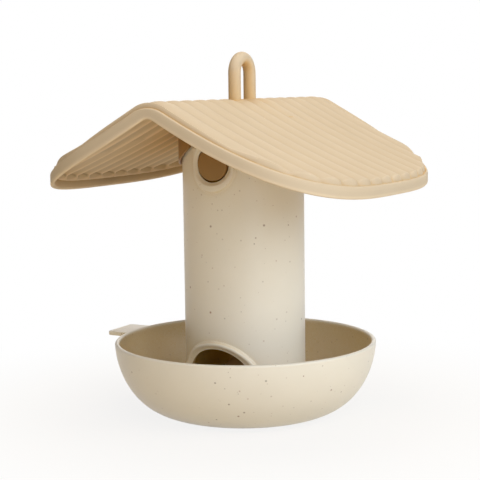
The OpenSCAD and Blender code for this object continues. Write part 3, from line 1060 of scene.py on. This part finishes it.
@dataclass
class RibbedRoof:
    """The roof moulding: two wings with ribs from ridge to eave, a narrow border and a lip all round."""

    half_width: float = 109.6
    half_length: float = 112.7
    squareness: float = 3.24
    rib_pitch: float = 15.2
    rib_depth: float = 2.0
    rib_cusp: float = 0.1
    border_drop: float = 3.88
    bead_radius: float = 1.2
    valley_depth: float = 0.9
    eave_border: float = 1.9
    gable_border: float = 2.0
    scallop: float = 2.1
    scallop_cusp: float = 0.97
    gable_step: float = 1.0
    eave_step: float = 1.8
    step_start: float = 0.3
    lip_thickness: float = 2.5
    lip_rows: Point = (0.35, 0.7)
    sheet: float = 2.4
    inner_shift: float = 2.0
    cells: int = 200
    border_rings: int = 30
    border_share: float = 0.062
    border_spacing: float = 1.25
    middle_share: float = 0.2
    boss_z: float = 184.5
    boss_overlap: float = 0.8

    def plan(self, u: float, v: float, inset: float) -> Point:
        """Maps the square grid to the roof's outline in plan, with close rings at the border.

        Args:
            u: Place across the ridge, from -1 to 1.
            v: Place along the ridge, from -1 to 1.
            inset: How far the outermost ring lies inside the outline.
        """
        share = max(abs(u), abs(v))
        if share < 1e-9:
            return 0.0, 0.0
        across, along = u / share, v / share
        reach = (abs(across) ** self.squareness + abs(along) ** self.squareness) ** (-1.0 / self.squareness)
        ring = (1.0 - share) * self.cells / 2.0
        if ring <= self.border_rings:
            reach *= 1.0 - self.border_share * (ring / self.border_rings) ** self.border_spacing
        else:
            reach *= (1.0 - self.border_share) * share * self.cells / (self.cells - 2.0 * self.border_rings)
        return (self.half_width - inset) * across * reach, (self.half_length - inset) * along * reach

    def border(self, x: float, y: float) -> Place:
        """Returns a point's distance inside the outline and the outline's normal there."""
        across, along = abs(x) / self.half_width, abs(y) / self.half_length
        level = (across**self.squareness + along**self.squareness) ** (1.0 / self.squareness)
        if level < self.middle_share:
            return self.half_width, 1.0, 0.0
        slope_x = (across / level) ** (self.squareness - 1.0) / self.half_width
        slope_y = (along / level) ** (self.squareness - 1.0) / self.half_length
        steep = math.hypot(slope_x, slope_y)
        return (1.0 - level) / steep, slope_x / steep, slope_y / steep

    def bead(self, inside: float) -> float:
        """Returns how far the outline's rounded edge lies below the border."""
        across = max(0.0, self.bead_radius - inside)
        return self.bead_radius - math.sqrt(max(0.0, self.bead_radius**2 - across**2)) if across else 0.0

    def top(self, x: float, y: float, shift: float = 0.0) -> float:
        """Returns the height of the upper face, with its border widened by a shift."""
        inside, normal_x, normal_y = self.border(x, y)
        inside = max(inside - shift, min(inside, self.bead_radius))
        phase = y / self.rib_pitch + 0.5
        from_crest = min(1.0, 2.0 * abs(phase - round(phase)))
        from_valley = math.hypot(1.0 - from_crest, self.rib_cusp) - self.rib_cusp
        dip = self.rib_depth * (1.0 - from_valley) ** 2
        edge = self.eave_border * normal_x**2 + self.gable_border * normal_y**2
        edge += self.scallop * normal_x**2 * (1.0 - math.sqrt(1.0 - self.scallop_cusp * from_crest**2))
        step = self.eave_step * normal_x**2 + self.gable_step * normal_y**2
        panel = smooth((inside - edge + step * self.step_start) / step)
        valley = self.valley_depth * smooth((inside - self.bead_radius) / max(0.6, edge - self.bead_radius))
        low = self.border_drop + self.bead(inside) + valley
        return CREST.height(x) - low * (1.0 - panel) - dip * panel

    def bottom(self, x: float, y: float) -> float:
        """Returns the height of the lower face, whose border reaches further in than the upper one's."""
        return self.top(x, y, self.inner_shift) - self.sheet

    def lower_place(self, u: float, v: float) -> Vector:
        """Returns a point of the lower face."""
        x, y = self.plan(u, v, self.lip_thickness)
        return Vector((x, y, self.bottom(x, y)))

    def shell(self) -> Mesh:
        """Returns the ribbed sheet with its lip.

        Each row of the lip has its inset, its share of the way down to the lip's edge, and its rise over
        that edge, which is round.
        """
        bm = bmesh.new()
        plan_layer = bm.verts.layers.float_vector.new("plan")
        made = bmesh.ops.create_grid(bm, x_segments=self.cells, y_segments=self.cells, size=1.0)
        for vert in made["verts"]:
            u, v = vert.co.x, vert.co.y
            vert[plan_layer] = (u, v, 0.0)
            x, y = self.plan(u, v, 0.0)
            vert.co = Vector((x, y, self.top(x, y)))
        edges = [edge for edge in bm.edges if edge.is_boundary]
        half = self.lip_thickness / 2.0
        rows = [(0.0, share, half) for share in self.lip_rows]
        rows += [(inset, 1.0, rise) for inset, rise in arc((half, half), half, 180.0, 360.0, 9)]
        for inset, share, rise in rows:
            edges, verts = extruded(bm, edges)
            for vert in verts:
                u, v, _ = vert[plan_layer]
                x, y = self.plan(u, v, inset)
                high = self.top(*self.plan(u, v, 0.0))
                vert.co = Vector((x, y, high + (LIP_EDGE.height(x) + rise - high) * share))
        for vert in extruded(bm, edges)[1]:
            vert.co = self.lower_place(vert[plan_layer].x, vert[plan_layer].y)
        mapped_grid(bm, (self.cells, self.cells), self.lower_place)
        return bm

    def build(self) -> None:
        """Builds the roof as one piece, with its screw bosses."""
        bm = self.shell()
        for x, y in ROOF_SCREWS:
            add_screw_post(bm, (x, y), POST_RADIUS, self.boss_z, self.bottom(x, y) + self.boss_overlap)
        settle(bm, "roof", SAND, Body.ROOF, ["roof_shell"])


# The collar


@dataclass
class RoofCollar:
    """The collar: a skirt round the tube's top, a plate on it and a bridge that carries latches and loop."""

    radius: float = 42.5
    wall: float = 1.2
    edge: tuple[Point, ...] = ((17.2, 178.4), (31.6, 169.4), (40.0, 165.8))
    under_crest: float = 4.6
    plate: float = 2.5
    window: Place = (8.8, 28.0, 38.3)
    bridge: Point = (12.5, 39.9)
    web: float = 2.0
    overlap: float = 0.3
    web_edge: float = 0.3
    slab_edge: float = 0.4
    post_top: float = 202.5
    opening_columns: int = 8
    side_columns: int = 26
    close_columns: float = 0.05
    deck_steps: int = 128

    def low_edge(self, x: float) -> float:
        """Returns the height of the skirt's lower edge, which opens over the buttons' surrounds."""
        if abs(x) < self.edge[0][0]:
            return PLATE_Z
        for (near, high), (far, low) in zip(self.edge, self.edge[1:]):
            if abs(x) < far:
                return high + (low - high) * (abs(x) - near) / (far - near)
        return self.edge[-1][1]

    def turns(self) -> list[float]:
        """Returns the skirt's columns in degrees, two of them close at each side of an opening."""
        side = math.degrees(math.asin(self.edge[0][0] / self.radius))
        quarter = [side * at / self.opening_columns for at in range(self.opening_columns)]
        quarter += [side - self.close_columns, side + self.close_columns]
        quarter += [side + (90.0 - side) * at / self.side_columns for at in range(1, self.side_columns)]
        half = [*quarter, 90.0, *(180.0 - turn for turn in reversed(quarter))]
        return half + [360.0 - turn for turn in reversed(half[:-1])]

    def section(self, x: float) -> list[Point]:
        """Returns the skirt's closed section, anticlockwise from the lowest point of its rounded edge."""
        half = self.wall / 2.0
        low = (self.radius - half, self.low_edge(x) + half)
        high = CREST.height(x) - self.under_crest
        outer = arc(low, half, 270.0, 360.0, 5) + [(self.radius, high)]
        return outer + [(self.radius - self.wall, high)] + arc(low, half, 180.0, 270.0, 5)

    def skirt(self, bm: Mesh) -> None:
        """Adds the skirt."""
        turns = self.turns()
        sections = [self.section(self.radius * math.sin(math.radians(turn))) for turn in turns]

        def place(u: float, v: float) -> Vector:
            """Maps the grid to columns round the tube and points round their sections."""
            column = round((u + 1.0) / 2.0 * (len(turns) - 1))
            reach, height = sections[column][round((v + 1.0) / 2.0 * (len(sections[0]) - 1))]
            turn = math.radians(turns[column])
            return Vector((-reach * math.sin(turn), -reach * math.cos(turn), height))

        mapped_grid(bm, (len(turns) - 1, len(sections[0]) - 1), place)

    def deck(self) -> Mesh:
        """Returns the plate with its two windows for the tongues."""
        part = bmesh.new()
        loops = circle_edges(part, (0.0, 0.0, PLATE_Z), self.radius - self.wall / 2.0, self.deck_steps)
        half, near, far = self.window
        for side in SIDES:
            loops += outlined(part, rectangle((-half, side * near), (half, side * far)), PLATE_Z)
        bmesh.ops.triangle_fill(part, use_beauty=True, edges=loops)
        thickened(part, (0.0, 0.0, self.plate))
        return part

    def build(self) -> None:
        """Builds the collar as one piece."""
        bm = bmesh.new()
        self.skirt(bm)
        join(bm, self.deck())
        half, reach = self.bridge
        low, top = PLATE_Z + self.plate - self.overlap, SLAB_Z + self.plate
        for side in SIDES:
            near, far = sorted((side * half, side * (half - self.web)))
            add_box(bm, (near, -reach, low), (far, reach, SLAB_Z + self.overlap), self.web_edge)
            add_screw_post(bm, (0.0, side * TONGUE_SCREW_Y), POST_RADIUS, top - self.overlap, self.post_top)
        add_box(bm, (-half, -reach, SLAB_Z), (half, reach, top), self.slab_edge)
        settle(bm, "collar", TAN, Body.ROOF, ["roof_collar"])


# The latches

TONGUE_FOOT = 2.2


@dataclass
class LatchTongue:
    """A springy tongue: a foot under the bridge, a leaf down the tube's bore and the round release button."""

    name: str
    node: str
    body: Body
    turn: float
    leaf_y: float = 36.0
    leaf: float = 2.0
    width: float = 16.0
    foot_end: float = 23.2
    bend_radius: float = 1.5
    low_z: float = 160.2
    strip_edge: float = 0.35
    button_radius: float = 10.7
    face_y: float = 40.0
    edge: float = 0.7
    back_edge: Point = (0.4, 0.6)
    disc_steps: int = 96

    def strip(self) -> Mesh:
        """Returns the bent strip of foot and leaf."""
        front, back, bend = -self.leaf_y, -self.leaf_y + self.leaf, self.bend_radius
        under = SLAB_Z - TONGUE_FOOT
        outline = [
            (-self.foot_end, SLAB_Z),
            *arc((front + bend, SLAB_Z - bend), bend, 90.0, 180.0, 5),
            (front, self.low_z),
            (back, self.low_z),
            *arc((back + bend, under - bend), bend, 180.0, 90.0, 5),
            (-self.foot_end, under),
        ]
        part = bmesh.new()
        part.faces.new([part.verts.new((-self.width / 2.0, y, z)) for y, z in outline])
        thickened(part, (self.width, 0.0, 0.0))
        bevel_sharp(part, self.strip_edge, 3, 50.0)
        return part

    def disc(self) -> Mesh:
        """Returns the button, a disc with a rounded rim that lies on the XY plane."""
        radius, edge = self.button_radius, self.edge
        depth = self.face_y - self.leaf_y + self.leaf
        inset, rise = self.back_edge
        profile = [(reach, depth) for reach in (0.0, radius * 0.55, radius - edge - 0.6)]
        profile += arc((radius - edge, depth - edge), edge, 90.0, 0.0, 7)
        profile += [(radius, rise), (radius - inset, 0.0), (0.0, 0.0)]
        part = bmesh.new()
        spun(part, profile, self.disc_steps)
        return part

    def build(self) -> None:
        """Builds the tongue as one piece."""
        bm = bmesh.new()
        join(bm, self.strip())
        seat = Matrix.Translation((0.0, -self.leaf_y + self.leaf, BUTTON_Z))
        join(bm, self.disc(), seat @ Matrix.Rotation(math.pi / 2.0, 4, "X"))
        bmesh.ops.transform(bm, matrix=turned(self.turn), verts=bm.verts)
        settle(bm, self.name, TAN, self.body, [self.node])


# The hanging loop


@dataclass
class HangingLoop:
    """A round rod bent into a U, which stands on the bridge and comes out at the ridge."""

    radius: float = 4.1
    top_z: float = 239.3
    sides: int = 40
    leg_steps: int = 6
    bend_steps: int = 40

    def leg(self, bm: Mesh, edges: list[Edge], height: float) -> list[Edge]:
        """Extrudes a loop of edges up a leg and returns the last loop."""
        for _ in range(self.leg_steps):
            edges, verts = extruded(bm, edges)
            bmesh.ops.translate(bm, vec=(0.0, 0.0, height / self.leg_steps), verts=verts)
        return edges

    def build(self) -> None:
        """Builds the loop."""
        bm = bmesh.new()
        bend_z = self.top_z - self.radius - LEG_Y
        edges = circle_edges(bm, (0.0, LEG_Y, SLAB_Z), self.radius, self.sides)
        edges = self.leg(bm, edges, bend_z - SLAB_Z)
        bent = bmesh.ops.spin(
            bm,
            geom=list(dict.fromkeys(vert for edge in edges for vert in edge.verts)) + edges,
            cent=(0.0, 0.0, bend_z),
            axis=(1.0, 0.0, 0.0),
            angle=math.pi,
            steps=self.bend_steps,
            use_merge=False,
        )["geom_last"]
        self.leg(bm, only(Edge, bent), SLAB_Z - bend_z)
        bmesh.ops.holes_fill(bm, edges=[edge for edge in bm.edges if edge.is_boundary], sides=self.sides)
        settle(bm, "loop", SAND, Body.ROOF, ["hanging_loop"])


# The screws


@dataclass
class PanScrew:
    """A self-tapping pan-head screw that points up, with a cross recess in its head."""

    shank: float = 1.5
    head: float = 2.8
    head_height: float = 1.8
    crown: float = 0.9
    recess: float = 1.5
    recess_width: float = 0.28
    recess_depth: float = 0.9
    recess_taper: float = 0.8
    recess_margin: float = 0.25
    neck: float = 0.5
    pitch: float = 0.9
    thread: float = 0.3
    thread_rise: float = 0.35
    plain: float = 1.6
    tip: float = 0.35
    steps: int = 40

    def mesh(self, length: float) -> Mesh:
        """Returns one screw, whose head ends at the origin and whose shank rises from there by a length."""
        profile = [(self.recess, -self.head_height)]
        profile += arc((self.head - self.crown, -self.head_height + self.crown), self.crown, 270.0, 360.0, 6)
        profile += [(self.head, 0.0), (self.shank, 0.0)]
        root, rise = self.shank - self.thread, self.thread_rise
        for at in range(max(2, int((length - self.plain) / self.pitch))):
            low = self.neck + self.pitch * at
            profile += [(root, low), (self.shank, low + rise), (root, low + 2.0 * rise)]
        profile += [(self.shank - 0.4, length - self.pitch), (self.tip, length), (0.0, length)]
        bm = bmesh.new()
        spun(bm, profile, self.steps)
        self.cross(bm)
        return bm

    def cross(self, bm: Mesh) -> None:
        """Adds the head's middle with its cross recess."""
        rim = circle_edges(bm, (0.0, 0.0, -self.head_height), self.recess, self.steps)
        near, far = self.recess_width, self.recess - self.recess_margin
        quarter = [(far, near), (near, near), (near, far)]
        corners: list[Point] = []
        for _ in range(4):
            corners += quarter
            quarter = [(-y, x) for x, y in quarter]
        outline = outlined(bm, corners, -self.head_height)
        bmesh.ops.triangle_fill(bm, use_beauty=True, edges=rim + outline)
        edges, verts = extruded(bm, outline)
        for vert in verts:
            vert.co.x *= self.recess_taper
            vert.co.y *= self.recess_taper
            vert.co.z += self.recess_depth
        bmesh.ops.contextual_create(bm, geom=edges)


@dataclass
class Fasteners:
    """The four groups of screws and the loop's washers."""

    screw: PanScrew = field(default_factory=PanScrew)
    bowl_seat_z: float = 2.41
    bowl_length: float = 6.59
    cone_length: float = 8.59
    roof_length: float = 9.5
    tongue_length: float = 6.2
    leg_length: float = 12.5
    washer: float = 1.5
    washer_radius: float = 7.0
    washer_edge: float = 0.2
    washer_steps: int = 64

    def build(self) -> None:
        """Builds every screw and washer. A screw has the place of its seat and the length of its shank."""
        low = SLAB_Z - self.washer
        foot = [(x, y, self.bowl_seat_z, self.bowl_length) for x, y in FOOT_SCREWS]
        foot += [(0.0, 0.0, self.bowl_seat_z, self.cone_length)]
        roof = [(x, y, PLATE_Z, self.roof_length) for x, y in ROOF_SCREWS]
        seat = SLAB_Z - TONGUE_FOOT
        tongues = [(0.0, side * TONGUE_SCREW_Y, seat, self.tongue_length) for side in SIDES]
        legs = [(0.0, side * LEG_Y, low, self.leg_length) for side in SIDES]
        for name, node, body, screws in (
            ("bowl_screws", "base_screws", Body.SILO, foot),
            ("collar_screws", "roof_screws", Body.ROOF, roof),
            ("foot_screws", "tongue_screws", Body.ROOF, tongues),
            ("leg_screws", "loop_screws", Body.ROOF, legs),
        ):
            group = bmesh.new()
            for x, y, z, length in screws:
                join(group, self.screw.mesh(length), Matrix.Translation((x, y, z)))
            settle(group, name, STEEL, body, [node])
        ring = bmesh.new()
        section = rounded_ring(SCREW_BORE, self.washer_radius, low, SLAB_Z, self.washer_edge)
        spun(ring, section, self.washer_steps, closed=True)
        both = copies(ring, [Matrix.Translation((0.0, side * LEG_Y, 0.0)) for side in SIDES])
        settle(both, "leg_washers", STEEL, Body.ROOF, ["loop_washers"])


# Studio


def way_to(azimuth: float, elevation: float) -> Vector:
    """Returns the way to a viewpoint. Azimuth 0 is in front, at -Y, and 90 at +X, in degrees."""
    turn, rise = math.radians(azimuth), math.radians(elevation)
    return Vector((math.sin(turn) * math.cos(rise), -math.cos(turn) * math.cos(rise), math.sin(rise)))


def seen_share(tree: Tree) -> Socket:
    """Returns 1 for rays that see a background directly, in a mirror or through glass, and 0 for the rest."""
    path = add_node(tree, "ShaderNodeLightPath").outputs
    share = path["Is Camera Ray"]
    for kind in ("Is Glossy Ray", "Is Transmission Ray"):
        share = reckoned(tree, "MAXIMUM", share, path[kind])
    return share


@dataclass(frozen=True)
class Softbox:
    """A square softbox: the way to it in degrees, its distance and size in metres, its power in watts."""

    name: str
    azimuth: float
    elevation: float
    distance: float
    size: float
    power: float
    colour: str


@dataclass
class Studio:
    """The floor, the light and the camera. The camera's eye is in millimetres, other lengths in metres."""

    softboxes: tuple[Softbox, ...] = (
        Softbox("key", 50.0, 35.0, 1.6, 0.9, 8.7, "#fcfbff"),
        Softbox("side", 95.0, 25.0, 1.6, 0.9, 10.2, "#ebf7ff"),
        Softbox("overhead", 0.0, 90.0, 1.6, 1.0, 15.6, "#ffefd6"),
        Softbox("low_front", 50.0, 8.0, 1.6, 0.7, 5.2, "#e9f4ff"),
        Softbox("left_fill", -40.0, 20.0, 1.8, 0.9, 1.9, "#fff6e4"),
        Softbox("front_fill", 5.0, 20.0, 1.8, 0.9, 2.7, "#fff1d4"),
        Softbox("rear_fill", 205.0, 20.0, 1.8, 1.0, 4.5, "#fff6e8"),
    )
    aim_z: float = 0.12
    floor_colour: str = "#ebdfca"
    floor_size: float = 6.0
    shadow_reach: Point = (0.06, 0.30)
    near_white: float = 0.85
    eye: Place = (432.9, -752.6, 217.5)
    azimuth: float = 30.09
    pitch: float = 6.70
    roll: float = 0.76
    focal_px: float = 1317.4
    frame_px: float = 480.0
    sensor: float = 36.0

    def camera(self) -> None:
        """Adds the camera at the photograph's viewpoint."""
        ahead = -way_to(self.azimuth, self.pitch)
        turn, roll = math.radians(self.azimuth), math.radians(self.roll)
        right = Vector((math.cos(turn), math.sin(turn), 0.0))
        down = ahead.cross(right)
        right, down = (
            math.cos(roll) * right + math.sin(roll) * down,
            math.cos(roll) * down - math.sin(roll) * right,
        )
        data = bpy.data.cameras.new("camera")
        data.sensor_width = self.sensor
        data.lens = self.focal_px / self.frame_px * self.sensor
        data.clip_start = 0.01
        data.clip_end = 20.0
        camera = add_object("camera", data)
        axes = Matrix((right, -down, -ahead)).transposed().to_4x4()
        camera.matrix_world = Matrix.Translation(Vector(self.eye) * MM) @ axes
        bpy.context.scene.camera = camera

    def lights(self) -> None:
        """Adds the softboxes, all of which face the feeder's middle."""
        for box in self.softboxes:
            way = way_to(box.azimuth, box.elevation)
            data = bpy.data.lights.new(box.name, "AREA")
            data.shape = "SQUARE"
            data.size = box.size
            data.energy = box.power
            data.color = linear(box.colour)[:3]
            light = add_object(box.name, data)
            light.location = Vector((0.0, 0.0, self.aim_z)) + way * box.distance
            light.rotation_mode = "QUATERNION"
            light.rotation_quaternion = (-way).to_track_quat("-Z", "Y")

    def surroundings(self) -> None:
        """Adds the world, which is white where it is seen and gives no light of its own."""
        world = bpy.data.worlds.new("studio")
        bpy.context.scene.world = world
        tree = cleared(world)
        white = add_node(tree, "ShaderNodeBackground", {"Color": WHITE, "Strength": seen_share(tree)})
        add_node(tree, "ShaderNodeOutputWorld", {"Surface": white.outputs[0]})

    def floor_material(self) -> bpy.types.Material:
        """Returns the floor's material: white where it is seen far off, with a shadow near the feeder."""
        material = bpy.data.materials.new("pale_floor")
        tree = cleared(material)
        place = add_node(tree, "ShaderNodeTexCoord").outputs["Object"]
        away = add_node(tree, "ShaderNodeVectorMath", {0: place}, operation="LENGTH").outputs["Value"]
        whiteness = (self.near_white, 1.0)
        white = ranged(tree, away, self.shadow_reach, whiteness, interpolation_type="SMOOTHSTEP")
        share = reckoned(tree, "MULTIPLY", seen_share(tree), white)
        lit = add_node(tree, "ShaderNodeBsdfDiffuse", {"Color": linear(self.floor_colour)})
        glow = add_node(tree, "ShaderNodeEmission", {"Color": WHITE, "Strength": 1.0})
        both = add_node(tree, "ShaderNodeMixShader", {0: share, 1: lit.outputs[0], 2: glow.outputs[0]})
        add_node(tree, "ShaderNodeOutputMaterial", {"Surface": both.outputs[0]})
        return material

    def floor(self) -> None:
        """Adds the pale floor."""
        bm = bmesh.new()
        bmesh.ops.create_grid(bm, x_segments=8, y_segments=8, size=self.floor_size)
        mesh = bpy.data.meshes.new("floor")
        bm.to_mesh(mesh)
        bm.free()
        mesh.materials.append(self.floor_material())
        add_object("floor", mesh)

    def build(self) -> None:
        """Sets up the whole studio."""
        self.camera()
        self.lights()
        self.surroundings()
        self.floor()
        bpy.context.scene.view_settings.view_transform = "Standard"


def main() -> None:
    """Builds the studio and every piece of the feeder."""
    logging.basicConfig(level=logging.INFO, format="%(name)s: %(message)s")
    parts = (
        Studio(),
        FeedingBowl(),
        SiloTube(),
        SeedCone(),
        RibbedRoof(),
        RoofCollar(),
        LatchTongue("front_release_button", "latch_tongue_front", Body.FRONT_LATCH, 0.0),
        LatchTongue("rear_release_button", "latch_tongue_rear", Body.REAR_LATCH, 180.0),
        HangingLoop(),
        Fasteners(),
    )
    for part in parts:
        part.build()


if __name__ == "__main__":
    main()
